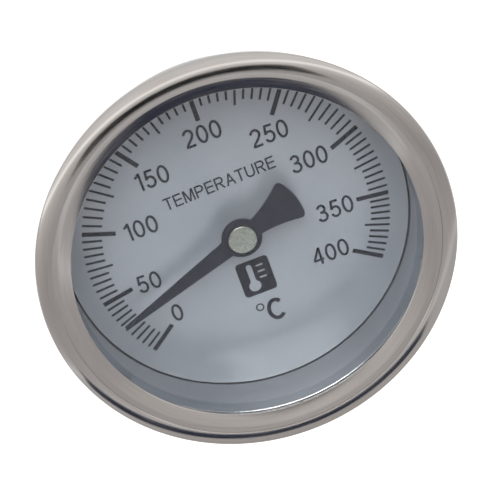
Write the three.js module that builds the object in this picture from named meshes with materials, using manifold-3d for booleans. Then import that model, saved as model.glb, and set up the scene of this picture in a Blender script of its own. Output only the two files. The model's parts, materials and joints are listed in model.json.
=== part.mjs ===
// Bimetal dial thermometer, 0 to 400 degrees Celsius, with a rear stem and a parallel pipe thread.
// Millimetres, +Z up. The stem lies on the Y axis and the dial faces -Y. The origin is where that axis
// meets the rear face of the hexagon, which is the face that seats on whatever the thread is screwed into.
import * as THREE from "three";
import * as BufferGeometryUtils from "three/addons/utils/BufferGeometryUtils.js";
import Module from "manifold-3d";

const wasm = await Module();
wasm.setup();

// Process connection: a half-inch parallel pipe thread behind a hexagon
const threadMajorDiameter = 20.955;
const threadPitch = 1.814;
const threadDepth = 1.162;
const threadLength = 14;
const threadChamfer = 1.3;
const shankLength = 1.5; // plain, at the thread's full diameter, between the shoulder and the thread
const hexAcrossFlats = 27;
const hexLength = 10;
const hexChamfer = 1.2;
const neckDiameter = 18;
const neckLength = 4;
const spigotDiameter = 13;
const spigotProud = 1;

// Stem
const stemDiameter = 8;
const stemWall = 0.5;
const insertionLength = 50;
const tipPlugDepth = 3;
const tipDome = 1.5;

// Clamping of the case on the fitting
const sealThickness = 1;
const sealWidth = 2.2;
const washerThickness = 0.8;
const washerDiameter = 20;
const nutThickness = 2.6;
const nutAcrossFlats = 19;
const nutChamfer = 0.6;

// Case, dial and window
const dialDiameter = 58.5;
const dialThickness = 0.5;
const dialHole = 3.4;
const dialEdgeGap = 0.2;
const dialHeight = 6.4; // from the inside of the case's back to the back of the dial
const supportMargin = 2.45; // flat left on the case's back outside the support's flange
const supportFlange = 2.6;
const supportSheet = 0.8;
const supportHole = 6;
const caseWall = 0.6;
const caseCorner = 8;
const flangeHeight = 9.6; // from the dial's face to the front of the case's flange
const flangeWidth = 2.65;
const gasketThickness = 0.8;
const glassThickness = 2;
const glassMargin = 2.1; // how far the glass reaches past the case's bore

// Lens ring and bezel ring, whose heights are measured forwards from the front of the glass
const openingInset = 1.05; // how far the lip covers the case's bore
const lipThickness = 0.5;
const flankWidth = 2; // the sloping flank between the lip and the land
const flankHeight = 1.15;
const landHeight = 1.33; // where the bezel's lip rests on the lens ring
const coveredWidth = 1.05; // the part of the lens ring that the bezel covers
const coveredDrop = 0.38; // how far the lens ring falls away over that width
const ringWall = 0.45;
const flareSheet = 0.5; // the lens ring flares out over the case's flange, and the bezel clamps the two
const bezelDiameter = 68;
const bezelSheet = 0.4;
const bezelRound = 3; // how wide the bezel's rounded front edge is
const bezelRise = 1.2; // how high it is, from the top of the wall to the crest
const hookReach = 1; // how far the bezel curls in behind the case's flange

// Movement: one bimetal helix turns one spindle
const spindleDiameter = 1.5;
const helixDiameter = 5.8;
const helixStrip = 0.4;
const helixPitch = 3;
const helixTurns = 8;
const helixSpace = 0.7; // free space between two turns
const anchorLength = 2;
const collarLength = 2.4;
const bearingLength = 3;
const bearingFlange = 0.5;
const guideLength = 2;
const middleGuideAt = 6; // behind the hexagon's rear face

// Pointer. Heights are measured forwards from the dial's face and radii from the spindle's axis.
const restAngle = -109.3; // degrees clockwise from straight up, at room temperature
const pointerHeight = 3.55;
const pointerSheet = 0.4;
const pointerTipInset = 4.55; // from the needle's tip to the dial's edge
const pointerTipWidth = 0.65;
const pointerRootWidth = 3;
const pointerRingDiameter = 6.8;
const tailLength = 11.2;
const tailWidth = 7.5;
const tailNeckWidth = 3.1;
const tailFlareWidth = 4; // where the neck's curve turns outwards, and how far behind the ring
const tailFlareLength = 3.2;
const tailShoulder = 1.65; // from the tail's end to where its corner begins
const tailCorner = 0.9;
const tailSwell = 0.35; // how far the corner's curve pulls outwards
const tailTaper = 0.1; // how much narrower each side is where the corner begins
const hubDiameter = 3;
const hubLength = 2;
const stubDiameter = 2.3;
const capDiameter = 4.92;
const capEdge = 0.6;
const capDome = 0.3;
const capDimple = 0.35;

// Fits
const slipClearance = 0.05; // radial, between pieces pressed or brazed together
const runningClearance = 0.05; // radial, between the spindle and its bearings
const passClearance = 0.15; // radial, where one piece passes freely through another
const seatClearance = 0.02; // along the axis, where a small piece seats on another

// Facets
const wideFacets = 40;
const fineFacets = 24;
const smallFacets = 16;
const helixSteps = 12;

// Stations along Y, from the shoulder towards the front, which is -Y
const hexFront = -hexLength;
const neckFront = hexFront - neckLength;
const backOuter = neckFront - sealThickness;
const backInner = backOuter - caseWall;
const washerFront = backInner - washerThickness;
const nutFront = washerFront - nutThickness;
const spigotFront = nutFront - spigotProud;
const dialBack = backInner - dialHeight;
const dialFace = dialBack - dialThickness;
const flangeFront = dialFace - flangeHeight;
const flangeRear = flangeFront + caseWall;
const gasketFront = flangeFront - gasketThickness;
const glassFront = gasketFront - glassThickness;
const flareFront = flangeFront - flareSheet;
const pointerBack = dialFace - pointerHeight;
const pointerFront = pointerBack - pointerSheet;
const stubFront = pointerFront - pointerSheet / 2;
const tipFace = insertionLength - tipDome;
const tipPlugFront = tipFace - tipPlugDepth;
const endBearingFront = tipPlugFront - guideLength;
const anchorFront = endBearingFront - anchorLength;
const helixFront = anchorFront - helixPitch * (helixTurns + 1) + helixSpace - seatClearance * 2;
const collarFront = helixFront - collarLength;

// Radii that several pieces share
const dialRadius = dialDiameter / 2;
const caseBore = dialRadius + dialEdgeGap;
const caseOuter = caseBore + caseWall;
const flangeRadius = caseOuter + flangeWidth;
const glassRadius = caseBore + glassMargin;
const pointerLength = dialRadius - pointerTipInset;
const ringBore = glassRadius + passClearance * 2;
const ringOuter = ringBore + ringWall;
const bezelRadius = bezelDiameter / 2;
const stemRadius = stemDiameter / 2;
const stemBore = stemRadius - stemWall;
const spindleRadius = spindleDiameter / 2;
const bearingBore = spindleRadius + runningClearance;
const spigotRadius = spigotDiameter / 2;

function finish(color, roughness, metalness) {
  return new THREE.MeshStandardMaterial({ color, roughness, metalness });
}

const finishes = {
  steel: finish(0xb4b0aa, 0.32, 1),
  brightSteel: finish(0xc4c2bd, 0.2, 1),
  brass: finish(0xb08d4a, 0.35, 1),
  bimetal: finish(0x9c9488, 0.4, 1),
  nickel: finish(0xb9bcb4, 0.22, 1),
  ink: finish(0x2b2f3b, 0.5, 0.1),
  enamel: finish(0xd8dbe0, 0.4, 0),
  rubber: finish(0x25262a, 0.85, 0),
  glass: finish(0xe8f0f2, 0.05, 0),
};

// ---- Shapes ----------------------------------------------------------------------------------------

// Twice the area inside a closed outline, positive when it runs anticlockwise
function doubleArea(points) {
  return points.reduce((sum, [x, y], i) => {
    const [nextX, nextY] = points[(i + 1) % points.length];
    return sum + x * nextY - nextX * y;
  }, 0);
}

// A solid of revolution about Y. The profile lists [radius, y] corners of its section.
function turned(profile, facets) {
  const ordered = doubleArea(profile) > 0 ? profile : [...profile].reverse();
  const closed = [...ordered, ordered[0]];
  return new THREE.LatheGeometry(closed.map(([r, y]) => new THREE.Vector2(r, y)), facets);
}

// A plain ring or washer between two radii and two stations
function ring(inner, outer, front, rear, facets) {
  return turned([[inner, front], [outer, front], [outer, rear], [inner, rear]], facets);
}

function toSolid(geometry) {
  const bare = geometry.clone();
  bare.deleteAttribute("normal");
  bare.deleteAttribute("uv");
  const merged = BufferGeometryUtils.mergeVertices(bare, 1e-4);
  const corners = merged.index.array;
  const kept = [];
  for (let i = 0; i < corners.length; i += 3) {
    const [a, b, c] = [corners[i], corners[i + 1], corners[i + 2]];
    if (a !== b && b !== c && c !== a) {
      kept.push(a, b, c);
    }
  }
  return new wasm.Manifold(new wasm.Mesh({
    numProp: 3,
    vertProperties: new Float32Array(merged.attributes.position.array),
    triVerts: new Uint32Array(kept),
  }));
}

function toGeometry(solid) {
  const mesh = solid.getMesh();
  const geometry = new THREE.BufferGeometry();
  geometry.setAttribute("position", new THREE.BufferAttribute(mesh.vertProperties, 3));
  geometry.setIndex(new THREE.BufferAttribute(mesh.triVerts, 1));
  geometry.computeVertexNormals();
  return geometry;
}

// A hexagonal prism about Y, with a flat on top and its corners bevelled at both ends
function hexagon(acrossFlats, front, rear, bevel) {
  const cornerRadius = acrossFlats / Math.sqrt(3);
  const prism = turned([[0, front], [cornerRadius, front], [cornerRadius, rear], [0, rear]], 6);
  prism.rotateY(Math.PI / 6);
  const faceRadius = acrossFlats / 2;
  const slope = bevel * Math.tan(Math.PI / 6);
  const cone = turned([
    [0, front],
    [faceRadius, front],
    [faceRadius + bevel * 2, front + slope * 2],
    [faceRadius + bevel * 2, rear - slope * 2],
    [faceRadius, rear],
    [0, rear],
  ], fineFacets);
  return toSolid(prism).intersect(toSolid(cone));
}

// A section of [radius, y] corners, anticlockwise, swept round Y and one pitch along it with each turn
function helical(section, pitch, turns, stepsPerTurn) {
  const sides = section.length;
  const steps = Math.round(turns * stepsPerTurn);
  const positions = [];
  const triangles = [];
  for (let step = 0; step <= steps; step += 1) {
    const turn = step / stepsPerTurn;
    const angle = turn * 2 * Math.PI;
    section.forEach(([radius, y]) => {
      positions.push(radius * Math.sin(angle), y + turn * pitch, radius * Math.cos(angle));
    });
  }
  for (let step = 0; step < steps; step += 1) {
    for (let side = 0; side < sides; side += 1) {
      const a = step * sides + side;
      const b = step * sides + ((side + 1) % sides);
      triangles.push(a, b + sides, b, a, a + sides, b + sides);
    }
  }
  const last = steps * sides;
  for (let side = 1; side < sides - 1; side += 1) {
    triangles.push(0, side, side + 1, last, last + side + 1, last + side);
  }
  const geometry = new THREE.BufferGeometry();
  geometry.setAttribute("position", new THREE.Float32BufferAttribute(positions, 3));
  geometry.setIndex(triangles);
  geometry.computeVertexNormals();
  return geometry;
}

// A quarter of an ellipse as [radius, height] corners, from its widest to just short of its top
function dome(radius, height, steps) {
  return Array.from({ length: steps }, (_, step) => {
    const angle = (step / steps) * (Math.PI / 2);
    return [radius * Math.cos(angle), height * Math.sin(angle)];
  });
}

// A rod with a screw thread about Y. The crest and the groove's floor are each a quarter of a pitch wide.
function threadedRod(majorRadius, depth, pitch, front, rear) {
  const coreRadius = majorRadius - depth;
  const buried = depth / 4; // the ridge's foot runs on this far below the surface of the core
  const flank = pitch / 4;
  const splay = (flank * buried) / depth;
  const foot = coreRadius - buried;
  const start = front - pitch;
  const ridge = helical([
    [foot, start - splay],
    [majorRadius, start + flank],
    [majorRadius, start + flank * 2],
    [foot, start + flank * 3 + splay],
  ], pitch, (rear - front) / pitch + 2, fineFacets);
  const core = turned([[0, start], [coreRadius, start], [coreRadius, rear], [0, rear]], fineFacets);
  return toSolid(ridge).add(toSolid(core));
}

// ---- Process connection and stem -------------------------------------------------------------------

function processFitting() {
  const bore = stemRadius + slipClearance;
  const threadRadius = threadMajorDiameter / 2;
  const neckRadius = neckDiameter / 2;
  const embed = 1; // how far one stretch runs into the next, so that the two join
  const envelope = turned([
    [0, -embed],
    [threadRadius, -embed],
    [threadRadius, threadLength - threadChamfer],
    [threadRadius - threadChamfer, threadLength],
    [0, threadLength],
  ], fineFacets * 2);
  const thread = threadedRod(threadRadius, threadDepth, threadPitch, -embed, threadLength + embed)
    .intersect(toSolid(envelope));
  const shank = turned([
    [0, -embed],
    [threadRadius, -embed],
    [threadRadius, shankLength],
    [0, shankLength],
  ], fineFacets * 2);
  const neck = turned([
    [0, spigotFront],
    [spigotRadius, spigotFront],
    [spigotRadius, neckFront],
    [neckRadius, neckFront],
    [neckRadius, hexFront + embed],
    [0, hexFront + embed],
  ], fineFacets);
  const drill = turned([
    [0, spigotFront - embed],
    [bore, spigotFront - embed],
    [bore, threadLength + embed],
    [0, threadLength + embed],
  ], fineFacets);
  const outside = hexagon(hexAcrossFlats, hexFront, 0, hexChamfer)
    .add(thread)
    .add(toSolid(shank))
    .add(toSolid(neck));
  return toGeometry(outside.subtract(toSolid(drill)));
}

function stemTube() {
  return ring(stemBore, stemRadius, spigotFront, tipFace, fineFacets);
}

function stemTip() {
  const plugRadius = stemBore - slipClearance;
  const pocket = spindleRadius + passClearance;
  return turned([
    [0, tipFace],
    [pocket, tipFace],
    [pocket, tipPlugFront],
    [plugRadius, tipPlugFront],
    [plugRadius, tipFace],
    ...dome(stemRadius, tipDome, 5).map(([r, height]) => [r, tipFace + height]),
    [0, insertionLength],
  ], fineFacets);
}

// ---- Case and its clamping -------------------------------------------------------------------------

function caseCup() {
  const hole = spigotRadius + passClearance;
  const arcStation = backOuter - caseCorner;
  const arcSteps = 4;
  const cornerArc = (radius) => Array.from({ length: arcSteps + 1 }, (_, step) => {
    const angle = (step / arcSteps) * (Math.PI / 2);
    return [
      caseOuter - caseCorner + radius * Math.sin(angle),
      arcStation + radius * Math.cos(angle),
    ];
  });
  return turned([
    [hole, backOuter],
    ...cornerArc(caseCorner),
    [caseOuter, flangeRear],
    [flangeRadius, flangeRear],
    [flangeRadius, flangeFront],
    [caseBore, flangeFront],
    ...cornerArc(caseCorner - caseWall).reverse(),
    [hole, backInner],
  ], wideFacets);
}

function caseSeal() {
  const inner = spigotRadius + passClearance;
  return ring(inner, inner + sealWidth, backOuter, neckFront, fineFacets);
}

function caseWasher() {
  return ring(spigotRadius + passClearance, washerDiameter / 2, washerFront, backInner, fineFacets);
}

function caseNut() {
  const bore = spigotRadius + slipClearance;
  const drill = turned([
    [0, nutFront - nutThickness],
    [bore, nutFront - nutThickness],
    [bore, washerFront + nutThickness],
    [0, washerFront + nutThickness],
  ], fineFacets);
  return toGeometry(hexagon(nutAcrossFlats, nutFront, washerFront, nutChamfer).subtract(toSolid(drill)));
}

// ---- Dial and its support --------------------------------------------------------------------------

function dialSupport() {
  const hole = supportHole / 2;
  const outer = caseOuter - caseCorner - supportMargin - supportFlange;
  const inner = outer - supportSheet;
  return turned([
    [hole, dialBack],
    [outer, dialBack],
    [outer, backInner - supportSheet],
    [outer + supportFlange, backInner - supportSheet],
    [outer + supportFlange, backInner],
    [inner, backInner],
    [inner, dialBack + supportSheet],
    [hole, dialBack + supportSheet],
  ], wideFacets);
}

function dialPlate() {
  return ring(dialHole / 2, dialRadius, dialFace, dialBack, wideFacets);
}

// ---- Window ----------------------------------------------------------------------------------------

function glassGasket() {
  return ring(caseBore, glassRadius, gasketFront, flangeFront, wideFacets);
}

function glassDisc() {
  return turned([
    [0, glassFront],
    [glassRadius, glassFront],
    [glassRadius, gasketFront],
    [0, gasketFront],
  ], wideFacets);
}

function lensRing() {
  const opening = caseBore - openingInset;
  const ahead = (r, height) => [r, glassFront - height];
  return turned([
    ahead(opening, 0),
    ahead(opening, lipThickness),
    ahead(opening + flankWidth, flankHeight),
    ahead(ringOuter - coveredWidth, landHeight),
    ahead(ringOuter, landHeight - coveredDrop),
    [ringOuter, flareFront],
    [flangeRadius, flareFront],
    [flangeRadius, flangeFront],
    [ringBore, flangeFront],
    ahead(ringBore, 0),
  ], wideFacets);
}

// The bezel is one sheet: a rounded front edge, a wall that leans in, and a hook behind the flange
function bezelRing() {
  const lip = ringOuter - coveredWidth;
  const crest = glassFront - landHeight - seatClearance - bezelSheet;
  const centreRadius = bezelRadius - bezelRound;
  const centreStation = crest + bezelRise;
  const flangeWall = flangeRadius + slipClearance;
  const hookFront = flangeRear + seatClearance;
  const arcSteps = 5;
  const frontArc = (width, rise) => Array.from({ length: arcSteps + 1 }, (_, step) => {
    const first = Math.asin((lip - centreRadius) / width);
    const angle = first + (step / arcSteps) * (Math.PI / 2 - first);
    return [centreRadius + width * Math.sin(angle), centreStation - rise * Math.cos(angle)];
  });
  return turned([
    ...frontArc(bezelRound, bezelRise),
    [flangeWall + bezelSheet, hookFront],
    [flangeWall, hookFront + bezelSheet],
    [flangeWall - hookReach, hookFront + bezelSheet],
    [flangeWall - hookReach, hookFront],
    [flangeWall, hookFront],
    ...frontArc(bezelRound - bezelSheet, bezelRise - bezelSheet).reverse(),
  ], wideFacets);
}

// ---- Movement --------------------------------------------------------------------------------------

function spindle() {
  const front = pointerFront + slipClearance;
  return turned([
    [0, front],
    [spindleRadius, front],
    [spindleRadius, tipPlugFront + tipPlugDepth / 2],
    [0, tipPlugFront + tipPlugDepth / 2],
  ], smallFacets);
}

function frontBearing() {
  const body = stemBore - slipClearance;
  return turned([
    [bearingBore, spigotFront - bearingFlange],
    [stemRadius, spigotFront - bearingFlange],
    [stemRadius, spigotFront],
    [body, spigotFront],
    [body, spigotFront + bearingLength],
    [bearingBore, spigotFront + bearingLength],
  ], smallFacets);
}

function guideAt(front) {
  return ring(bearingBore, stemBore - slipClearance, front, front + guideLength, smallFacets);
}

function helixAnchor() {
  const outer = stemBore - slipClearance;
  return ring(spindleRadius + passClearance * 2, outer, anchorFront, endBearingFront, smallFacets);
}

function helixCollar() {
  return ring(spindleRadius + slipClearance, helixDiameter / 2, collarFront, helixFront, smallFacets);
}

// The strip's section is upright, and its pitch leaves helixSpace between one turn and the next
function bimetalHelix() {
  const outer = helixDiameter / 2;
  const inner = outer - helixStrip;
  const front = helixFront + seatClearance;
  const rear = front + helixPitch - helixSpace;
  const section = [[inner, front], [outer, front], [outer, rear], [inner, rear]];
  return helical(section, helixPitch, helixTurns, helixSteps);
}

// ---- Pointer ---------------------------------------------------------------------------------------

// The outline seen from the front with the needle pointing along +Y of the shape
function pointerOutline() {
  const ringRadius = pointerRingDiameter / 2;
  const halfTip = pointerTipWidth / 2;
  const halfTail = tailWidth / 2;
  const needleEdge = Math.asin(pointerRootWidth / 2 / ringRadius);
  const neckEdge = Math.asin(tailNeckWidth / 2 / ringRadius);
  const tailEdge = Math.asin((halfTail - tailCorner) / tailLength);
  const [neckX, neckY] = [ringRadius * Math.sin(neckEdge), -ringRadius * Math.cos(neckEdge)];
  const [flareX, flareY] = [tailFlareWidth / 2, neckY - tailFlareLength];
  const [sideX, sideY] = [halfTail - tailTaper, tailShoulder - tailLength];
  const [swellX, swellY] = [halfTail + tailSwell, sideY - tailCorner];
  const [endX, endY] = [tailLength * Math.sin(tailEdge), -tailLength * Math.cos(tailEdge)];
  const downwards = Math.PI * 1.5;
  const shape = new THREE.Shape();
  shape.moveTo(-halfTip, pointerLength);
  shape.lineTo(-ringRadius * Math.sin(needleEdge), ringRadius * Math.cos(needleEdge));
  shape.absarc(0, 0, ringRadius, Math.PI / 2 + needleEdge, downwards - neckEdge, false);
  shape.quadraticCurveTo(-flareX, flareY, -sideX, sideY);
  shape.quadraticCurveTo(-swellX, swellY, -endX, endY);
  shape.absarc(0, 0, tailLength, downwards - tailEdge, downwards + tailEdge, false);
  shape.quadraticCurveTo(swellX, swellY, sideX, sideY);
  shape.quadraticCurveTo(flareX, flareY, neckX, neckY);
  shape.absarc(0, 0, ringRadius, neckEdge - Math.PI / 2, Math.PI / 2 - needleEdge, false);
  shape.lineTo(halfTip, pointerLength);
  shape.closePath();
  return shape;
}

function pointerBlade() {
  const outline = pointerOutline();
  const hole = new THREE.Path();
  hole.absarc(0, 0, stubDiameter / 2 + slipClearance, 0, 2 * Math.PI, true);
  outline.holes.push(hole);
  const geometry = new THREE.ExtrudeGeometry(outline, {
    depth: pointerSheet,
    bevelEnabled: false,
    curveSegments: 8,
  });
  geometry.rotateZ(-THREE.MathUtils.degToRad(restAngle));
  geometry.rotateX(Math.PI / 2);
  geometry.translate(0, pointerBack, 0);
  return geometry;
}

function pointerHub() {
  const shoulder = pointerBack + seatClearance;
  const stub = stubDiameter / 2;
  const bore = spindleRadius + slipClearance;
  return turned([
    [0, stubFront],
    [stub, stubFront],
    [stub, shoulder],
    [hubDiameter / 2, shoulder],
    [hubDiameter / 2, shoulder + hubLength],
    [bore, shoulder + hubLength],
    [bore, pointerFront],
    [0, pointerFront],
  ], fineFacets);
}

function pointerCap() {
  const rear = pointerFront - seatClearance;
  const radius = capDiameter / 2;
  const recess = stubDiameter / 2 + slipClearance;
  const face = rear - capEdge;
  return turned([
    [0, stubFront - seatClearance],
    [recess, stubFront - seatClearance],
    [recess, rear],
    [radius, rear],
    ...dome(radius, capDome, 5).map(([r, height]) => [r, face - height]),
    [0, face - capDome + capDimple],
  ], fineFacets);
}

// ---- Assembly --------------------------------------------------------------------------------------

function piece(name, geometry, material) {
  const mesh = new THREE.Mesh(geometry, material.clone());
  mesh.name = name;
  return mesh;
}

const housing = new THREE.Group();
housing.add(
  piece("process_fitting", processFitting(), finishes.steel),
  piece("stem_tube", stemTube(), finishes.steel),
  piece("stem_tip", stemTip(), finishes.steel),
  piece("case_cup", caseCup(), finishes.steel),
  piece("case_seal", caseSeal(), finishes.rubber),
  piece("case_washer", caseWasher(), finishes.steel),
  piece("case_nut", caseNut(), finishes.brass),
  piece("dial_support", dialSupport(), finishes.steel),
  piece("dial_plate", dialPlate(), finishes.enamel),
  piece("glass_gasket", glassGasket(), finishes.rubber),
  piece("glass", glassDisc(), finishes.glass),
  piece("lens_ring", lensRing(), finishes.brightSteel),
  piece("bezel_ring", bezelRing(), finishes.brightSteel),
);

const movement = new THREE.Group();
movement.add(
  piece("front_bearing", frontBearing(), finishes.brass),
  piece("middle_guide", guideAt(middleGuideAt), finishes.brass),
  piece("end_bearing", guideAt(endBearingFront), finishes.brass),
  piece("helix_anchor", helixAnchor(), finishes.brass),
  piece("bimetal_helix", bimetalHelix(), finishes.bimetal),
);

const pointerBody = new THREE.Group();
pointerBody.add(
  piece("spindle", spindle(), finishes.steel),
  piece("helix_collar", helixCollar(), finishes.brass),
  piece("pointer_hub", pointerHub(), finishes.brass),
  piece("pointer", pointerBlade(), finishes.ink),
  piece("pointer_cap", pointerCap(), finishes.nickel),
);

const thermometer = new THREE.Group();
thermometer.add(housing, movement, pointerBody);

export default thermometer;
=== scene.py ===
"""The dial thermometer's looks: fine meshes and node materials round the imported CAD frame.

Metres, +Z up. The stem lies on the Y axis, the dial faces -Y, and the origin is at the hexagon's shoulder.
Angles round the dial are in degrees clockwise from straight up, as a reader sees them.
"""

import json
import math

import bmesh
import bpy
from mathutils import Matrix, Vector


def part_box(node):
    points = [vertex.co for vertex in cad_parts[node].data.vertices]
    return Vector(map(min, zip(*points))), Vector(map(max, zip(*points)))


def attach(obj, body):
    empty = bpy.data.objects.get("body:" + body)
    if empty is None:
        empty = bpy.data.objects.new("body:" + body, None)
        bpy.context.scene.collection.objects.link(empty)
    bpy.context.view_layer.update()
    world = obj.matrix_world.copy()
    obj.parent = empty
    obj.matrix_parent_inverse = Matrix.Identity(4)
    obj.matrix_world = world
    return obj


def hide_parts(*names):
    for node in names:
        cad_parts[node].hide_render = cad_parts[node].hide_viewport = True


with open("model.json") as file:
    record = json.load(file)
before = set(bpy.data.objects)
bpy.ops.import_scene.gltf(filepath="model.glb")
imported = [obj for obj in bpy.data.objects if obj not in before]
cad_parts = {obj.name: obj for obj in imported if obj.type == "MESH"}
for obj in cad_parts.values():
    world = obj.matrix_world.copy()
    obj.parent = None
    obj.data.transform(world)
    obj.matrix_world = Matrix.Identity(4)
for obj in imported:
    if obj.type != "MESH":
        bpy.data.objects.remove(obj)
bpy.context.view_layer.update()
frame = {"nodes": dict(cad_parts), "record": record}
MM = 0.001

# ---- Sizes read from the frame ----------------------------------------------------------------------


def span(node):
    """(front y, rear y, outer radius) of a CAD node that is round about the Y axis."""
    low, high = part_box(node)
    return low.y, high.y, high.z


DIAL_FACE, DIAL_BACK, DIAL_R = span("dial_plate")
GLASS_FRONT, GLASS_BACK, GLASS_R = span("glass")
_, FLANGE_FRONT, FLANGE_R = span("lens_ring")
BEZEL_FRONT, BEZEL_REAR, BEZEL_R = span("bezel_ring")
CASE_FRONT, CASE_BACK, _ = span("case_cup")
SEAL_FRONT, SEAL_REAR, SEAL_R = span("case_seal")
CAP_FRONT, CAP_REAR, CAP_R = span("pointer_cap")
TUBE_FRONT, TUBE_REAR, STEM_R = span("stem_tube")
TIP_FRONT, TIP_REAR, _ = span("stem_tip")
POINTER_FRONT, POINTER_BACK, _ = span("pointer")
SPIGOT_FRONT, THREAD_END, FLAT_R = span("process_fitting")

# The CAD part's own design sizes, for what a box doesn't tell
DIAL_EDGE_GAP = 0.2 * MM
CASE_BORE = DIAL_R + DIAL_EDGE_GAP
CASE_WALL = 0.6 * MM
CASE_CORNER = 8 * MM
OPENING_INSET = 1.05 * MM
OPENING_R = CASE_BORE - OPENING_INSET
GLASS_EDGE_GAP = 0.3 * MM
RING_WALL = 0.45 * MM
RING_OUTER = GLASS_R + GLASS_EDGE_GAP + RING_WALL
FLANK = 2 * MM
FLARE = 0.5 * MM
COVERED = 1.05 * MM
BEZEL_LIP = RING_OUTER - COVERED
BEZEL_ROUND = 3 * MM
BEZEL_RISE = 1.2 * MM
BEZEL_SHEET = 0.4 * MM
HOOK_REACH = 1.0 * MM
PASS = 0.15 * MM
SLIP = 0.05 * MM
SEAT = 0.02 * MM
NECK_FRONT = SEAL_REAR
HEX_FRONT = -10 * MM
NECK_R = 9 * MM
SPIGOT_R = 6.5 * MM
SHANK = 1.5 * MM
THREAD_R = 20.955 / 2 * MM
THREAD_PITCH = 1.814 * MM
THREAD_DEPTH = 1.162 * MM
THREAD_CHAMFER = 1.3 * MM
STEM_WALL = 0.5 * MM
REST_ANGLE = -109.3
POINTER_TIP_INSET = 4.55 * MM
POINTER_LENGTH = DIAL_R - POINTER_TIP_INSET

# The lens ring's heights in mm in front of the glass, from the opening outwards
LIP_HEIGHT = 0.46
FLANK_HEIGHT = 1.15
LAND_HEIGHT = 1.33
EDGE_HEIGHT = 0.95

# The scale: where each fifty degrees Celsius falls, degrees clockwise from the top of the dial
SCALE_ANGLES = (-127.4, -99.8, -69.8, -34.9, 0.0, 34.2, 67.8, 97.4, 123.7)
DEGREES_PER_NUMBER = 50
DEGREES_PER_MARK = 5
SCALE_R = 26 * MM
PRINT_HEIGHT = 0.04 * MM
PRINT_BODY = PRINT_HEIGHT * 0.9  # ends just clear of the dial

# ---- Camera -----------------------------------------------------------------------------------------

VIEW_AZIMUTH = -0.6
VIEW_ELEVATION = 25.45
VIEW_ROLL = -20.4
VIEW_DISTANCE = 238.1 * MM
VIEW_LENS = 107.1
AIM = (-0.26 * MM, 1.79 * MM)  # how far the dial's centre lies right of the view's centre and above it
GLASS_SHIFT = 0.67 * MM  # how much nearer the dial seems through the glass


def make_camera():
    azimuth, elevation, roll = (math.radians(v) for v in (VIEW_AZIMUTH, VIEW_ELEVATION, VIEW_ROLL))
    back = Vector((
        math.sin(azimuth) * math.cos(elevation),
        -math.cos(azimuth) * math.cos(elevation),
        math.sin(elevation),
    ))
    level = Vector((0, 0, 1)).cross(back).normalized()
    upright = back.cross(level)
    right = level * math.cos(roll) + upright * math.sin(roll)
    up = upright * math.cos(roll) - level * math.sin(roll)
    data = bpy.data.cameras.new("camera")
    data.lens = VIEW_LENS
    data.sensor_width = 36
    data.clip_start = 0.01
    data.clip_end = 50
    camera = bpy.data.objects.new("camera", data)
    bpy.context.scene.collection.objects.link(camera)
    dial_centre = Vector((0, DIAL_FACE - GLASS_SHIFT, 0))
    place = dial_centre + back * VIEW_DISTANCE - right * AIM[0] - up * AIM[1]
    camera.matrix_world = Matrix.Translation(place) @ Matrix((right, up, back)).transposed().to_4x4()
    bpy.context.scene.camera = camera


make_camera()

# ---- Mesh helpers -----------------------------------------------------------------------------------

ON_AXIS = 1e-7  # a point nearer the axis than this is on it
RING_STEPS = 256
CASE_STEPS = 192
TURNED_STEPS = 160
FITTING_STEPS = 144
SMALL_STEPS = 96
BLUNT_EDGE = 50  # degrees, for pieces that stay smooth over steeper bends


def mesh_object(name, bm, sharp_angle=32):
    bmesh.ops.recalc_face_normals(bm, faces=bm.faces)
    mesh = bpy.data.meshes.new(name)
    bm.to_mesh(mesh)
    bm.free()
    mesh.shade_smooth()
    mesh.set_sharp_from_angle(angle=math.radians(sharp_angle))
    made = bpy.data.objects.new(name, mesh)
    bpy.context.scene.collection.objects.link(made)
    return made


def filleted(corners, arc_steps=5):
    """The closed outline of (a, b, radius) corners, with each corner that has a radius rounded to it."""
    outline = []
    for i, (a, b, radius) in enumerate(corners):
        here = Vector((a, b))
        if radius <= 0:
            outline.append((a, b))
            continue
        before = (Vector(corners[i - 1][:2]) - here).normalized()
        after = (Vector(corners[(i + 1) % len(corners)][:2]) - here).normalized()
        half = before.angle(after) / 2
        centre = here + (before + after).normalized() * (radius / math.sin(half))
        reach = radius / math.tan(half)
        start, end = here + before * reach - centre, here + after * reach - centre
        turn = math.atan2(start.cross(end), start.dot(end))
        for step in range(arc_steps + 1):
            angle = turn * step / arc_steps
            outline.append((
                centre.x + start.x * math.cos(angle) - start.y * math.sin(angle),
                centre.y + start.x * math.sin(angle) + start.y * math.cos(angle),
            ))
    return outline


def swept(name, section_at, steps, sharp_angle=32):
    """A closed section of (radius, y) points, given for each angle, swept round the Y axis."""
    bm = bmesh.new()
    columns = []
    hubs = {}
    for i in range(steps):
        angle = 2 * math.pi * i / steps
        column = []
        for k, (radius, y) in enumerate(section_at(angle)):
            if radius > ON_AXIS:
                column.append(bm.verts.new((radius * math.sin(angle), y, radius * math.cos(angle))))
                continue
            if k not in hubs:
                hubs[k] = bm.verts.new((0, y, 0))
            column.append(hubs[k])
        columns.append(column)
    for column, following in zip(columns, columns[1:] + columns[:1]):
        for k in range(len(column)):
            corners = (column[k - 1], following[k - 1], following[k], column[k])
            distinct = list(dict.fromkeys(corners))
            if len(distinct) > 2:
                bm.faces.new(distinct)
    return mesh_object(name, bm, sharp_angle)


def turned(name, outline, steps=TURNED_STEPS, sharp_angle=32):
    return swept(name, lambda angle: outline, steps, sharp_angle)


def ahead(radius, height, fillet=0.0):
    """A corner at a height in mm in front of the glass."""
    return radius, GLASS_FRONT - height * MM, fillet * MM


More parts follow.
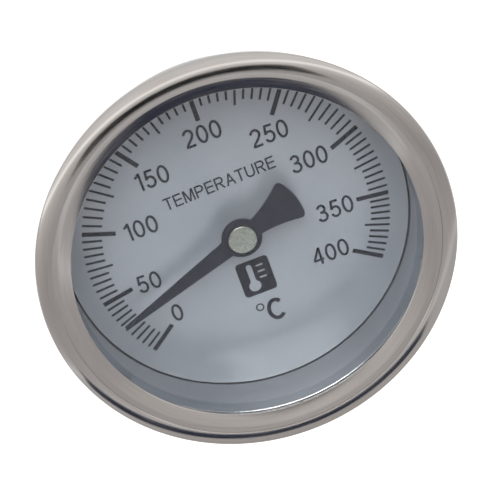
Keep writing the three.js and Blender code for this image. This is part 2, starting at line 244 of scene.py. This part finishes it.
def thicken(bm, thickness):
    """Gives flat faces that look towards -Y a thickness towards +Y."""
    raised = bmesh.ops.extrude_face_region(bm, geom=list(bm.faces))
    moved = [v for v in raised["geom"] if isinstance(v, bmesh.types.BMVert)]
    bmesh.ops.translate(bm, verts=moved, vec=(0, thickness, 0))


def plate(name, loops, front, thickness):
    """A flat sheet of (x, z) outlines: its edge first, then its holes."""
    bm = bmesh.new()
    edges = []
    for loop in loops:
        verts = [bm.verts.new((x, front, z)) for x, z in loop]
        edges += [bm.edges.new(pair) for pair in zip(verts, verts[1:] + verts[:1])]
    bmesh.ops.triangle_fill(bm, edges=edges, use_beauty=True)
    thicken(bm, thickness)
    return mesh_object(name, bm)


def arc(centre_x, centre_z, radius_x, radius_z, start, end, steps=18):
    """Points along an ellipse, in degrees anticlockwise from the right."""
    angles = [math.radians(start + (end - start) * i / steps) for i in range(steps + 1)]
    return [(centre_x + radius_x * math.cos(a), centre_z + radius_z * math.sin(a)) for a in angles]


# ---- Material helpers -------------------------------------------------------------------------------


class Nodes:
    """A material with one Principled shader and short calls for the nodes behind it."""

    def __init__(self, name, **sockets):
        self.material = bpy.data.materials.new(name)
        self.material.use_nodes = True
        self.tree = self.material.node_tree
        self.shader = self.tree.nodes["Principled BSDF"]
        self.output = self.tree.nodes["Material Output"]
        for socket, value in sockets.items():
            self.shader.inputs[socket.replace("_", " ")].default_value = value

    def add(self, kind, **settings):
        node = self.tree.nodes.new(kind)
        for key, value in settings.items():
            setattr(node, key, value)
        return node

    def link(self, source, target):
        self.tree.links.new(source, target)

    def math(self, operation, first, second=0.0):
        node = self.add("ShaderNodeMath", operation=operation)
        for socket, value in zip(node.inputs, (first, second)):
            if isinstance(value, (int, float)):
                socket.default_value = value
            else:
                self.link(value, socket)
        return node.outputs[0]

    def place(self):
        return self.add("ShaderNodeTexCoord").outputs["Object"]

    def polar(self, round_scale, radial_scale, axial_scale):
        """The place as (angle, radius, y) about the Y axis, each stretched by its own scale."""
        parts = self.add("ShaderNodeSeparateXYZ")
        self.link(self.place(), parts.inputs[0])
        x, y, z = parts.outputs
        squares = self.math("ADD", self.math("MULTIPLY", x, x), self.math("MULTIPLY", z, z))
        joined = self.add("ShaderNodeCombineXYZ")
        self.link(self.math("MULTIPLY", self.math("ARCTAN2", x, z), round_scale), joined.inputs[0])
        self.link(self.math("MULTIPLY", self.math("SQRT", squares), radial_scale), joined.inputs[1])
        self.link(self.math("MULTIPLY", y, axial_scale), joined.inputs[2])
        return joined.outputs[0]

    def noise(self, place, scale=1.0, detail=3.0, roughness=0.5):
        node = self.add("ShaderNodeTexNoise")
        self.link(place, node.inputs["Vector"])
        node.inputs["Scale"].default_value = scale
        node.inputs["Detail"].default_value = detail
        node.inputs["Roughness"].default_value = roughness
        return node.outputs["Fac"]

    def spread(self, value, low, high, from_low=0.3, from_high=0.7):
        node = self.add("ShaderNodeMapRange")
        self.link(value, node.inputs["Value"])
        limits = {"From Min": from_low, "From Max": from_high, "To Min": low, "To Max": high}
        for name, number in limits.items():
            node.inputs[name].default_value = number
        return node.outputs[0]

    def colours(self, value, *stops):
        """Maps a value to colours: stops are (position, (r, g, b))."""
        node = self.add("ShaderNodeValToRGB")
        self.link(value, node.inputs[0])
        elements = node.color_ramp.elements
        while len(elements) < len(stops):
            elements.new(0.5)
        for element, (position, colour) in zip(elements, stops):
            element.position = position
            element.color = (*colour, 1)
        return node.outputs[0]

    def bump(self, height, distance):
        node = self.add("ShaderNodeBump")
        node.inputs["Distance"].default_value = distance
        self.link(height, node.inputs["Height"])
        self.link(node.outputs[0], self.shader.inputs["Normal"])

    def set(self, socket, source):
        self.link(source, self.shader.inputs[socket])


def turned_metal(name, dark, light, rough, streaks, bump):
    """Metal with fine lines round the Y axis. streaks are lines per metre across the lines."""
    m = Nodes(name, Metallic=1.0)
    lines = m.noise(m.polar(5, streaks, streaks), 1.0, 4.0, 0.6)
    broad = m.noise(m.polar(1.3, streaks / 15, streaks / 15), 1.0, 2.0)
    clouds = m.noise(m.place(), 80, 3.0)
    mixed = m.math("ADD", m.math("MULTIPLY", lines, 0.45), m.math("MULTIPLY", broad, 0.55))
    m.set("Base Color", m.colours(mixed, (0.3, dark), (0.7, light)))
    m.set("Roughness", m.math("ADD", m.spread(lines, *rough), m.spread(clouds, -0.02, 0.02)))
    m.bump(lines, bump)
    return m.material


def painted(name, dark, light, rough, mottle, peel, peel_height, **sockets):
    """Paint or enamel with a faint mottle in its colour and a fine orange peel."""
    m = Nodes(name, **sockets)
    patches = m.noise(m.place(), mottle, 4.0, 0.55)
    skin = m.noise(m.place(), peel, 2.0)
    both = m.math("ADD", m.math("MULTIPLY", patches, 0.5), m.math("MULTIPLY", skin, 0.5))
    m.set("Base Color", m.colours(patches, (0.3, dark), (0.7, light)))
    m.set("Roughness", m.spread(both, *rough))
    m.bump(skin, peel_height)
    return m.material


def clear_glass():
    """Clear glass that mirrors little. Lamps shine straight through it, so that it doesn't shade the dial."""
    m = Nodes("glass", Roughness=0.0, IOR=1.3, Transmission_Weight=1.0)
    film = m.noise(m.place(), 35, 3.0, 0.6)
    m.set("Base Color", m.colours(film, (0.35, (0.955, 0.97, 0.975)), (0.75, (0.985, 0.99, 0.99))))
    path = m.add("ShaderNodeLightPath")
    clear = m.add("ShaderNodeBsdfTransparent")
    clear.inputs[0].default_value = (0.94, 0.96, 0.96, 1)
    mix = m.add("ShaderNodeMixShader")
    m.link(path.outputs["Is Shadow Ray"], mix.inputs[0])
    m.link(m.shader.outputs[0], mix.inputs[1])
    m.link(clear.outputs[0], mix.inputs[2])
    m.link(mix.outputs[0], m.output.inputs["Surface"])
    return m.material


STEEL = ((0.50, 0.485, 0.47), (0.62, 0.605, 0.59))
MATERIALS = {
    "bezel_steel": turned_metal(
        "bezel_steel", (0.54, 0.51, 0.49), (0.66, 0.64, 0.62), (0.1, 0.2), 8000, 1.2e-6,
    ),
    "case_steel": turned_metal(
        "case_steel", (0.53, 0.535, 0.55), (0.62, 0.625, 0.645), (0.18, 0.24), 6000, 0.5e-6,
    ),
    "fitting_steel": turned_metal("fitting_steel", *STEEL, (0.2, 0.32), 5200, 2e-6),
    "brass": turned_metal("brass", (0.50, 0.35, 0.15), (0.66, 0.49, 0.24), (0.24, 0.4), 6000, 2e-6),
    "spring_steel": turned_metal(
        "spring_steel", (0.28, 0.26, 0.24), (0.42, 0.39, 0.36), (0.3, 0.45), 5000, 2e-6,
    ),
    "nickel": turned_metal("nickel", (0.14, 0.15, 0.135), (0.19, 0.20, 0.18), (0.22, 0.32), 8000, 1.5e-6),
    # The dial is white enamel. This dark blue-grey base is painted shade, standing in for the shade the dial
    # sits in behind the bezel and glass. Its mottle is the enamel's own tone.
    "dial_enamel": painted(
        "dial_enamel", (0.135, 0.146, 0.166), (0.155, 0.166, 0.186), (0.28, 0.34), 60, 2600, 2e-6,
        Metallic=0.15,
    ),
    "pointer_black": painted(
        "pointer_black", (0.006, 0.007, 0.012), (0.010, 0.011, 0.018), (0.4, 0.52), 300, 5200, 1e-6,
        Specular_IOR_Level=0.05,
    ),
    "print_black": painted(
        "print_black", (0.005, 0.006, 0.010), (0.009, 0.010, 0.016), (0.45, 0.6), 900, 6000, 5e-7,
        Specular_IOR_Level=0.05,
    ),
    "rubber": painted("rubber", (0.012, 0.012, 0.013), (0.03, 0.03, 0.032), (0.7, 0.9), 700, 3000, 2e-5),
    "glass": clear_glass(),
}


def finish_piece(piece, slot, body, *replaced, material=None):
    piece.data.materials.append(MATERIALS[material or slot])
    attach(piece, body)
    if replaced:
        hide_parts(*replaced)


# ---- Case and window --------------------------------------------------------------------------------


def make_case():
    outer_r = CASE_BORE + CASE_WALL
    hole = SPIGOT_R + PASS
    return turned("case_shell", filleted([
        (hole, CASE_BACK, 0.15 * MM),
        (outer_r, CASE_BACK, CASE_CORNER),
        (outer_r, CASE_FRONT + CASE_WALL, 0.4 * MM),
        (FLANGE_R, CASE_FRONT + CASE_WALL, 0.1 * MM),
        (FLANGE_R, CASE_FRONT, 0.1 * MM),
        (CASE_BORE, CASE_FRONT, 0.35 * MM),
        (CASE_BORE, CASE_BACK - CASE_WALL, CASE_CORNER - CASE_WALL),
        (hole, CASE_BACK - CASE_WALL, 0.1 * MM),
    ], 12), CASE_STEPS)


def soft_ring(name, inner, outer, front, rear, soft, steps=TURNED_STEPS):
    corners = ((inner, front, soft), (outer, front, soft), (outer, rear, soft), (inner, rear, soft))
    return turned(name, filleted(corners, 4), steps)


def make_glass():
    ground = 0.18 * MM
    return turned("window_glass", [
        (0, GLASS_FRONT),
        (GLASS_R - ground, GLASS_FRONT),
        (GLASS_R, GLASS_FRONT + ground),
        (GLASS_R, GLASS_BACK - ground),
        (GLASS_R - ground, GLASS_BACK),
        (0, GLASS_BACK),
    ])


def make_lens_ring():
    flare = FLANGE_FRONT - FLARE
    bore = RING_OUTER - RING_WALL
    return turned("lens_trim_ring", filleted([
        ahead(OPENING_R, 0.0),
        ahead(OPENING_R, LIP_HEIGHT, 0.18),
        ahead(OPENING_R + FLANK, FLANK_HEIGHT, 3),
        ahead(BEZEL_LIP, LAND_HEIGHT, 0.05),
        ahead(RING_OUTER, EDGE_HEIGHT, 0.1),
        (RING_OUTER, flare, 0.12 * MM),
        (FLANGE_R, flare, 0.1 * MM),
        (FLANGE_R, FLANGE_FRONT, 0.1 * MM),
        (bore, FLANGE_FRONT, 0.05 * MM),
        ahead(bore, 0.0, 0.05),
    ], 7), RING_STEPS)


def make_bezel():
    """One sheet: a rounded front edge that rests on the lens ring, a wall that leans in, and a hook."""
    wall = FLANGE_R + SLIP
    hook = CASE_FRONT + CASE_WALL + SEAT
    centre_r, centre_y = BEZEL_R - BEZEL_ROUND, BEZEL_FRONT + BEZEL_RISE

    def front_edge(width, rise):
        first = math.degrees(math.asin((BEZEL_LIP - centre_r) / width))
        return [(r, y, 0.0) for r, y in arc(centre_r, centre_y, width, -rise, 90 - first, 0, 24)]

    outside = front_edge(BEZEL_ROUND, BEZEL_RISE)
    inside = front_edge(BEZEL_ROUND - BEZEL_SHEET, BEZEL_RISE - BEZEL_SHEET)
    return turned("bezel_roll", filleted([
        (*outside[0][:2], 0.12 * MM),
        *outside[1:],
        (wall + BEZEL_SHEET, hook - 0.15 * MM, 1.5 * MM),
        (wall, BEZEL_REAR, 0.25 * MM),
        (wall - HOOK_REACH, BEZEL_REAR, 0.15 * MM),
        (wall - HOOK_REACH, hook, 0.15 * MM),
        (wall, hook, 0.05 * MM),
        *reversed(inside),
    ], 7), RING_STEPS)


finish_piece(make_case(), "case_steel", "housing", "case_cup")
finish_piece(
    soft_ring("window_gasket", CASE_BORE, GLASS_R, GLASS_BACK, FLANGE_FRONT, 0.2 * MM),
    "rubber", "housing", "glass_gasket",
)
finish_piece(make_glass(), "glass", "housing", "glass")
finish_piece(make_lens_ring(), "bezel_steel", "housing", "lens_ring")
finish_piece(make_bezel(), "bezel_steel", "housing", "bezel_ring")

# ---- Dial and its print -----------------------------------------------------------------------------

# Letters are strokes in units of their height, one stroke width being WEIGHT of it. Each entry is the
# width of a letter and the middle lines of its strokes.
WEIGHT = 0.13
HALF = WEIGHT / 2
TOP = 1 - HALF
LETTERS = {
    "0": (0.585, [arc(0.29, 0.5, 0.228, 0.435, 90, 450, 40)]),
    "1": (0.44, [
        [(0.35, 0), (0.35, 1)],
        [(0.31, 0.93), (0.23, 0.835), (0.11, 0.77)],
    ]),
    "2": (0.585, [
        arc(0.29, 0.705, 0.215, 0.23, 172, -32) + [(0.40, 0.45), (0.26, 0.31), (0.13, 0.17), (0.09, 0.10)],
        [(0.035, HALF), (0.54, HALF)],
    ]),
    "3": (0.585, [
        arc(0.275, 0.74, 0.185, 0.195, 165, -90) + arc(0.275, 0.302, 0.228, 0.238, 90, -165),
        [(0.19, 0.54), (0.275, 0.54)],
    ]),
    "4": (0.6, [
        [(0.425, 0), (0.425, 1)],
        [(0.01, 0.28), (0.575, 0.28)],
        [(0.05, 0.31), (0.41, 0.95)],
    ]),
    "5": (0.585, [
        [(0.52, TOP), (0.17, TOP), (0.105, 0.49)],
        arc(0.285, 0.34, 0.228, 0.275, 146, -160),
    ]),
    "A": (0.68, [[(0.06, 0), (0.335, 0.97)], [(0.345, 0.97), (0.62, 0)], [(0.17, 0.34), (0.51, 0.34)]]),
    "C": (0.72, [arc(0.375, 0.5, 0.30, 0.435, 42, 318, 30)]),
    "E": (0.62, [[(HALF, 0), (HALF, 1)]] + [[(WEIGHT, z), (0.6, z)] for z in (HALF, 0.52, TOP)]),
    "M": (0.78, [
        [(HALF, 0), (HALF, 1)],
        [(0.11, 0.98), (0.39, 0.02)],
        [(0.39, 0.02), (0.67, 0.98)],
        [(0.715, 0), (0.715, 1)],
    ]),
    "P": (0.64, [
        [(HALF, 0), (HALF, 1)],
        [(WEIGHT, TOP), (0.36, TOP)] + arc(0.37, 0.705, 0.2, 0.23, 85, -85)
        + [(0.36, 0.475), (WEIGHT, 0.475)],
    ]),
    "R": (0.68, [
        [(HALF, 0), (HALF, 1)],
        [(WEIGHT, TOP), (0.38, TOP)] + arc(0.39, 0.715, 0.2, 0.22, 85, -85)
        + [(0.38, 0.495), (WEIGHT, 0.495)],
        [(0.36, 0.46), (0.61, 0.01)],
    ]),
    "T": (0.62, [[(0, TOP), (0.62, TOP)], [(0.31, 0), (0.31, 1 - WEIGHT)]]),
    "U": (0.68, [
        [(HALF, 1), (HALF, 0.36)] + arc(0.335, 0.34, 0.27, 0.275, 185, 355) + [(0.605, 0.36), (0.605, 1)],
    ]),
}
LETTER_GAP = 0.105
STEEPEST_MITRE = 0.6  # keeps a band's outer corner from running out where its line turns sharply
CLOSED_GAP = 1e-6


def ribbon(bm, line, width, closed=False):
    """A flat band of the given width along a line of (x, z) points on the dial."""
    points = [Vector(p) for p in line]
    if closed:
        points = points[:-1]
    sides = []
    for i, here in enumerate(points):
        before = points[i - 1] if i or closed else here
        after = points[(i + 1) % len(points)] if i + 1 < len(points) or closed else here
        arriving, leaving = (here - before).normalized(), (after - here).normalized()
        along = (arriving + leaving).normalized()
        across = Vector((-along.y, along.x))
        square = Vector((-leaving.y, leaving.x)) if leaving.length else across
        reach = across * (width / 2 / max(STEEPEST_MITRE, across.dot(square)))
        front = DIAL_FACE - PRINT_HEIGHT
        sides.append([bm.verts.new((p.x, front, p.y)) for p in (here + reach, here - reach)])
    following = sides[1:] + (sides[:1] if closed else [])
    for (a, b), (c, d) in zip(sides, following):
        bm.faces.new((a, b, d, c))


def printed(name, bands):
    """Print on the dial from (line, width, closed) bands in metres."""
    bm = bmesh.new()
    for band in bands:
        ribbon(bm, *band)
    thicken(bm, PRINT_BODY)
    finish_piece(mesh_object(name, bm), "pointer_black", "housing", material="print_black")


def word_bands(text, centre, height, width=None, tilt=0.0, weight=WEIGHT):
    """The bands of a word about a centre: sizes in mm, and a tilt in degrees anticlockwise."""
    lengths = [LETTERS[letter][0] for letter in text]
    natural = sum(lengths) + LETTER_GAP * (len(text) - 1)
    across = width / natural if width else height
    turn = Matrix.Rotation(math.radians(tilt), 2)
    bands = []
    cursor = -natural / 2
    for letter, length in zip(text, lengths):
        for line in LETTERS[letter][1]:
            closed = len(line) > 2 and (Vector(line[0]) - Vector(line[-1])).length < CLOSED_GAP
            placed = [
                (Vector(centre) + turn @ Vector(((x + cursor) * across, (z - 0.5) * height))) * MM
                for x, z in line
            ]
            bands.append((placed, weight * height * MM, closed))
        cursor += length + LETTER_GAP
    return bands


def scale_angle(celsius):
    position = celsius / DEGREES_PER_NUMBER
    first = min(int(position), len(SCALE_ANGLES) - 2)
    low, high = SCALE_ANGLES[first], SCALE_ANGLES[first + 1]
    return low + (high - low) * (position - first)


def make_marks():
    major, middle, minor = (20.45 * MM, 0.76 * MM), (21.7 * MM, 0.38 * MM), (22.7 * MM, 0.38 * MM)
    bands = []
    for celsius in range(0, (len(SCALE_ANGLES) - 1) * DEGREES_PER_NUMBER + 1, DEGREES_PER_MARK):
        if celsius % DEGREES_PER_NUMBER == 0:
            inner, width = major
        elif celsius % (DEGREES_PER_NUMBER // 2) == 0:
            inner, width = middle
        else:
            inner, width = minor
        angle = math.radians(scale_angle(celsius))
        outwards = Vector((math.sin(angle), math.cos(angle)))
        bands.append(([outwards * inner, outwards * SCALE_R], width, False))
    printed("scale_marks", bands)


NUMBER_CENTRES = ((-14.65, -10.6), (-17.15, -3.35), (-15.1, 6.4), (-10.4, 14.0), (-0.15, 18.1),
                  (10.1, 14.1), (14.9, 7.35), (16.4, -2.75), (13.35, -10.1))
NUMBER_HEIGHT = 3.25


def make_numbers():
    bands = []
    for i, centre in enumerate(NUMBER_CENTRES):
        bands += word_bands(str(i * DEGREES_PER_NUMBER), centre, NUMBER_HEIGHT)
    printed("scale_numbers", bands)


def make_unit():
    ring_centre, ring_r = (-1.15 * MM, -15.3 * MM), 0.62 * MM
    bands = word_bands("C", (1.35, -16.65), 4.1, 3.05, weight=0.17)
    bands.append((arc(*ring_centre, ring_r, ring_r, 0, 360, 32), 0.24 * MM, True))
    printed("unit_mark", bands)


def make_badge():
    """A plain badge with a bulb thermometer and three marks left clear in it."""
    x, z = 0.05 * MM, -9.5 * MM
    half_width, half_height, corner = 2.9 * MM, 3.3 * MM, 0.7 * MM
    edge = filleted([
        (x - half_width, z - half_height, corner),
        (x + half_width, z - half_height, corner),
        (x + half_width, z + half_height, corner),
        (x - half_width, z + half_height, corner),
    ], 6)
    tube_x, tube_half, tube_top = x - 0.7 * MM, 0.48 * MM, z + 2.1 * MM
    bulb_z, bulb_r = z - 1.6 * MM, 1.05 * MM
    neck = math.degrees(math.asin(tube_half / bulb_r))
    bulb = arc(tube_x, bulb_z, bulb_r, bulb_r, 90 + neck, 450 - neck, 28)
    tube = arc(tube_x, tube_top, tube_half, tube_half, 0, 180, 12)
    marks = []
    for step in range(3):
        mark_z = z + (1.9 - 1.15 * step) * MM
        left, right = x + 0.55 * MM, x + 1.75 * MM
        low, high = mark_z - 0.17 * MM, mark_z + 0.17 * MM
        marks.append([(left, low), (right, low), (right, high), (left, high)])
    badge = plate("dial_badge", [edge, bulb + tube, *marks], DIAL_FACE - PRINT_HEIGHT, PRINT_BODY)
    finish_piece(badge, "pointer_black", "housing", material="print_black")


finish_piece(
    soft_ring("dial_face", 1.7 * MM, DIAL_R, DIAL_FACE, DIAL_BACK, 0.06 * MM, CASE_STEPS),
    "dial_enamel", "housing", "dial_plate",
)
make_marks()
make_numbers()
make_unit()
make_badge()
printed("dial_word", word_bands("TEMPERATURE", (-0.3, 8.95), height=2.2, width=19.5, tilt=1.5))

# ---- Pointer ----------------------------------------------------------------------------------------


def bezier(start, control, end, steps):
    points = []
    for i in range(1, steps + 1):
        t = i / steps
        s = 1 - t
        points.append(tuple(s * s * a + 2 * s * t * b + t * t * c for a, b, c in zip(start, control, end)))
    return points


def pointer_half():
    """The pointer's right-hand edge, needle up, from its tip to the middle of its tail, in mm."""
    ring, half_tip, half_root, half_neck = 3.4, 0.325, 1.5, 1.55
    tail, half_tail, corner = 11.2, 3.75, 0.9
    needle_edge = math.degrees(math.asin(half_root / ring))
    neck_edge = math.degrees(math.asin(half_neck / ring))
    tail_edge = math.degrees(math.asin((half_tail - corner) / tail))
    points = [(half_tip, POINTER_LENGTH / MM)]
    points += arc(0, 0, ring, ring, 90 - needle_edge, neck_edge - 90, 24)
    side = (half_tail - 0.1, 1.65 - tail)
    end = arc(0, 0, tail, tail, tail_edge - 90, -90, 14)
    points += bezier(points[-1], (2, points[-1][1] - 3.2), side, 16)
    points += bezier(side, (half_tail + 0.35, side[1] - corner), end[0], 10)
    return points + end[1:]


def make_pointer():
    half = pointer_half()
    outline = half + [(-x, y) for x, y in reversed(half[:-1])]
    turn = Matrix.Rotation(-math.radians(REST_ANGLE), 2)
    placed = [turn @ Vector(p) * MM for p in outline]
    hole = arc(0, 0, 1.2 * MM, 1.2 * MM, 0, 360, 32)[:-1]
    blade = plate("pointer_blade", [placed, hole], POINTER_FRONT, POINTER_BACK - POINTER_FRONT)
    softened = blade.modifiers.new("edges", "BEVEL")
    softened.width = 0.05 * MM
    softened.segments = 2
    softened.limit_method = "ANGLE"
    return blade


def make_cap():
    stub, seat, soft = 1.2 * MM, POINTER_FRONT - 0.22 * MM, 0.28 * MM
    edge = CAP_REAR - 0.6 * MM + soft * 0.4
    rim = CAP_R - soft
    broken = 0.05 * MM
    outline = [(0, seat), (stub, seat), (stub, CAP_REAR)]
    outline += [(CAP_R - broken, CAP_REAR), (CAP_R, CAP_REAR - broken)]
    outline += arc(rim, edge, soft, -soft, 0, 90, 8)
    crest = edge - soft
    dimple = 0.32 * MM
    for i in range(1, 9):
        r = rim + (dimple - rim) * i / 8
        outline.append((r, CAP_FRONT + (crest - CAP_FRONT) * (r / rim) ** 2))
    outline += [(0.2 * MM, CAP_FRONT + 0.05 * MM), (0.1 * MM, CAP_FRONT + 0.22 * MM)]
    outline.append((0, CAP_FRONT + 0.28 * MM))
    return turned("pointer_cap_dome", outline, SMALL_STEPS, BLUNT_EDGE)


finish_piece(make_pointer(), "pointer_black", "pointer_assembly", "pointer")
finish_piece(make_cap(), "nickel", "pointer_assembly", "pointer_cap")

# ---- Fitting and stem -------------------------------------------------------------------------------


def hexagon_radius(angle):
    """The distance to a hexagon's side at an angle, with a flat on top and its corners just broken."""
    sixth = math.pi / 3
    from_flat = (angle + sixth / 2) % sixth - sixth / 2
    corner_r = FLAT_R / math.cos(sixth / 2)
    return min(FLAT_R / math.cos(from_flat), corner_r - 0.12 * MM)


def thread_radius(angle, y):
    """A Whitworth thread's rounded ridge, which runs out onto the shank and is chamfered at its end."""
    phase = 2 * math.pi * y / THREAD_PITCH - angle
    ridge = math.asin(0.97 * math.sin(phase)) / math.asin(0.97)
    depth = THREAD_DEPTH * min(1.0, max(0.0, (y - SHANK) / (0.8 * THREAD_PITCH)))
    chamfered = THREAD_R - max(0.0, y - (THREAD_END - THREAD_CHAMFER))
    return min(THREAD_R - depth * (1 - ridge) / 2, chamfered)


def make_fitting():
    bore = STEM_R + SLIP
    chamfer_r = FLAT_R * 0.975
    slope = math.tan(math.pi / 6)
    rows = round((THREAD_END - SHANK) / THREAD_PITCH * 18)
    step = (THREAD_END - SHANK) / rows

    def section(angle):
        flat = hexagon_radius(angle)
        rise = (flat - chamfer_r) * slope
        return [
            (bore, SPIGOT_FRONT),
            (SPIGOT_R - 0.3 * MM, SPIGOT_FRONT),
            (SPIGOT_R, SPIGOT_FRONT + 0.3 * MM),
            (SPIGOT_R, NECK_FRONT),
            (NECK_R - 0.3 * MM, NECK_FRONT),
            (NECK_R, NECK_FRONT + 0.3 * MM),
            (NECK_R, HEX_FRONT - 0.5 * MM),
            (NECK_R + 0.15 * MM, HEX_FRONT - 0.15 * MM),
            (NECK_R + 0.5 * MM, HEX_FRONT),
            (chamfer_r, HEX_FRONT),
            (flat, HEX_FRONT + rise),
            (flat, -rise),
            (chamfer_r, 0),
            (THREAD_R, 0),
            *((thread_radius(angle, SHANK + step * i), SHANK + step * i) for i in range(rows + 1)),
            (bore, THREAD_END),
        ]

    return swept("threaded_fitting", section, FITTING_STEPS, 40)


def make_stem():
    bore = STEM_R - STEM_WALL
    return turned("stem_sleeve", [
        (bore, TUBE_FRONT), (STEM_R, TUBE_FRONT), (STEM_R, TUBE_REAR), (bore, TUBE_REAR),
    ], SMALL_STEPS)


def make_tip():
    pocket, plug = 0.9 * MM, STEM_R - STEM_WALL - SLIP
    weld = TUBE_REAR
    outline = [(0, weld), (pocket, weld), (pocket, TIP_FRONT), (plug, TIP_FRONT), (plug, weld)]
    outline += [(r, y) for r, y in arc(0, weld, STEM_R, TIP_REAR - weld, 0, 90, 12)]
    return turned("stem_end", outline, SMALL_STEPS, BLUNT_EDGE)


finish_piece(
    soft_ring("seal_ring", SPIGOT_R + PASS, SEAL_R, SEAL_FRONT, SEAL_REAR, 0.25 * MM, SMALL_STEPS),
    "rubber", "housing", "case_seal",
)
finish_piece(make_fitting(), "fitting_steel", "housing", "process_fitting")
finish_piece(make_stem(), "fitting_steel", "housing", "stem_tube")
finish_piece(make_tip(), "fitting_steel", "housing", "stem_tip")

# ---- CAD nodes that stay ----------------------------------------------------------------------------

REPLACED = {
    "case_cup", "glass_gasket", "glass", "lens_ring", "bezel_ring", "dial_plate", "pointer", "pointer_cap",
    "case_seal", "process_fitting", "stem_tube", "stem_tip",
}
for subpart in frame["record"]["subparts"]:
    if subpart["node"] not in REPLACED:
        kept = frame["nodes"][subpart["node"]].data.materials
        kept.clear()
        kept.append(MATERIALS[subpart["material_slot"]])

# ---- Studio -----------------------------------------------------------------------------------------

FLOOR_Z = -160 * MM
CARD_DARK = (0.02, 0.026, 0.05)
CARD_LIGHT = (0.03, 0.038, 0.066)

# Corners in mm: one card lies under the dial, and one stands in front of it where a viewer would be
UNDER_CARD = ((-140, -100, -120), (-140, -160, -120), (65, -140, -120), (65, -100, -120))
VIEWER_CARD = ((-70, -200, 0), (70, -200, 0), (70, -200, 40), (-70, -200, 40))

# Lamps: place in metres, width in metres, watts
KEY_LAMP = ((0.0, -0.42, 0.44), 0.5, 5.5)
FILL_LAMP = ((0.0, -0.6, 0.05), 0.6, 0.15)


def make_floor():
    """A pale floor that glows as a lit sweep does. The object mirrors the room and not the floor."""
    bm = bmesh.new()
    bmesh.ops.create_grid(bm, x_segments=8, y_segments=8, size=6)
    floor = mesh_object("floor", bm)
    floor.location.z = FLOOR_Z
    m = Nodes("floor", Roughness=0.9, Emission_Strength=1.0)
    pale = m.colours(m.noise(m.place(), 3.0), (0.3, (0.86, 0.86, 0.86)), (0.7, (0.9, 0.9, 0.9)))
    m.set("Base Color", pale)
    m.set("Emission Color", pale)
    floor.data.materials.append(m.material)
    floor.visible_glossy = False
    floor.visible_diffuse = False


def make_card(name, corners):
    """A dark card, out of sight, which only the polished metal mirrors. Its corners are in mm."""
    bm = bmesh.new()
    bm.faces.new([bm.verts.new(Vector(corner) * MM) for corner in corners])
    card = mesh_object(name, bm)
    m = Nodes(name, Roughness=0.9, Specular_IOR_Level=0.1)
    m.set("Base Color", m.colours(m.noise(m.place(), 20), (0.3, CARD_DARK), (0.7, CARD_LIGHT)))
    card.data.materials.append(m.material)
    card.visible_camera = False
    card.visible_shadow = False
    card.visible_diffuse = False
    card.visible_transmission = False


def area_light(name, place, size, watts):
    """A soft lamp turned to the middle of the dial, which nothing mirrors."""
    data = bpy.data.lights.new(name, "AREA")
    data.energy = watts
    data.size = size
    lamp = bpy.data.objects.new(name, data)
    lamp.location = place
    lamp.rotation_euler = (Vector((0, DIAL_FACE, 0)) - Vector(place)).to_track_quat("-Z", "Y").to_euler()
    lamp.visible_glossy = False
    bpy.context.scene.collection.objects.link(lamp)


# The room's brightness behind the object, then in front of it, from straight down, -1, to straight up, 1
ROOM_BEHIND = (
    (-1.0, (0.50, 0.48, 0.47)),
    (-0.6, (0.60, 0.59, 0.58)),
    (-0.45, (1.25, 1.25, 1.25)),
    (-0.25, (1.1, 1.1, 1.1)),
    (0.0, (0.6, 0.59, 0.58)),
    (0.45, (0.72, 0.71, 0.70)),
    (1.0, (0.80, 0.79, 0.78)),
)
ROOM_AHEAD = (
    (-1.0, (0.50, 0.48, 0.47)),
    (-0.8, (0.55, 0.53, 0.52)),
    (-0.64, (0.56, 0.55, 0.55)),
    (-0.6, (0.85, 0.85, 0.85)),
    (-0.55, (0.50, 0.48, 0.48)),
    (-0.3, (0.45, 0.43, 0.43)),
    (0.0, (0.62, 0.60, 0.58)),
    (0.18, (0.80, 0.78, 0.77)),
    (0.28, (1.5, 1.48, 1.46)),
    (0.42, (0.90, 0.88, 0.87)),
    (1.0, (0.80, 0.79, 0.78)),
)
BACK_BEGINS = -0.15  # how far back a direction points where the front starts to give way to the back
BACK_WHOLLY = 0.6


def make_world():
    """A grey room, brighter behind and overhead, for polished metal and glass to mirror."""
    world = bpy.data.worlds.new("studio")
    world.use_nodes = True
    tree = world.node_tree

    def add(kind, **inputs):
        node = tree.nodes.new(kind)
        for key, value in inputs.items():
            node.inputs[int(key[1:])].default_value = value
        return node

    direction = tree.nodes.new("ShaderNodeTexCoord").outputs["Generated"]
    parts = add("ShaderNodeSeparateXYZ")
    height = add("ShaderNodeMath", _1=0.5, _2=0.5)
    height.operation = "MULTIPLY_ADD"
    backwards = add("ShaderNodeMapRange", _1=BACK_BEGINS, _2=BACK_WHOLLY, _3=0.0, _4=1.0)
    backwards.interpolation_type = "SMOOTHSTEP"
    blend = add("ShaderNodeMix")
    blend.data_type = "RGBA"
    background = tree.nodes["Background"]
    tree.links.new(direction, parts.inputs[0])
    tree.links.new(parts.outputs[1], backwards.inputs[0])
    tree.links.new(parts.outputs[2], height.inputs[0])
    tree.links.new(backwards.outputs[0], blend.inputs[0])
    for socket, stops in ((6, ROOM_AHEAD), (7, ROOM_BEHIND)):
        ramp = add("ShaderNodeValToRGB")
        elements = ramp.color_ramp.elements
        while len(elements) < len(stops):
            elements.new(0.5)
        for element, (z, colour) in zip(elements, stops):
            element.position = (z + 1) / 2
            element.color = (*colour, 1)
        tree.links.new(height.outputs[0], ramp.inputs[0])
        tree.links.new(ramp.outputs[0], blend.inputs[socket])
    tree.links.new(blend.outputs[2], background.inputs[0])
    world.cycles_visibility.diffuse = False
    bpy.context.scene.world = world


make_floor()
make_card("dark_card", UNDER_CARD)
make_card("viewer_card", VIEWER_CARD)
make_world()
area_light("key", *KEY_LAMP)
area_light("fill", *FILL_LAMP)
bpy.context.scene.view_settings.view_transform = "Standard"
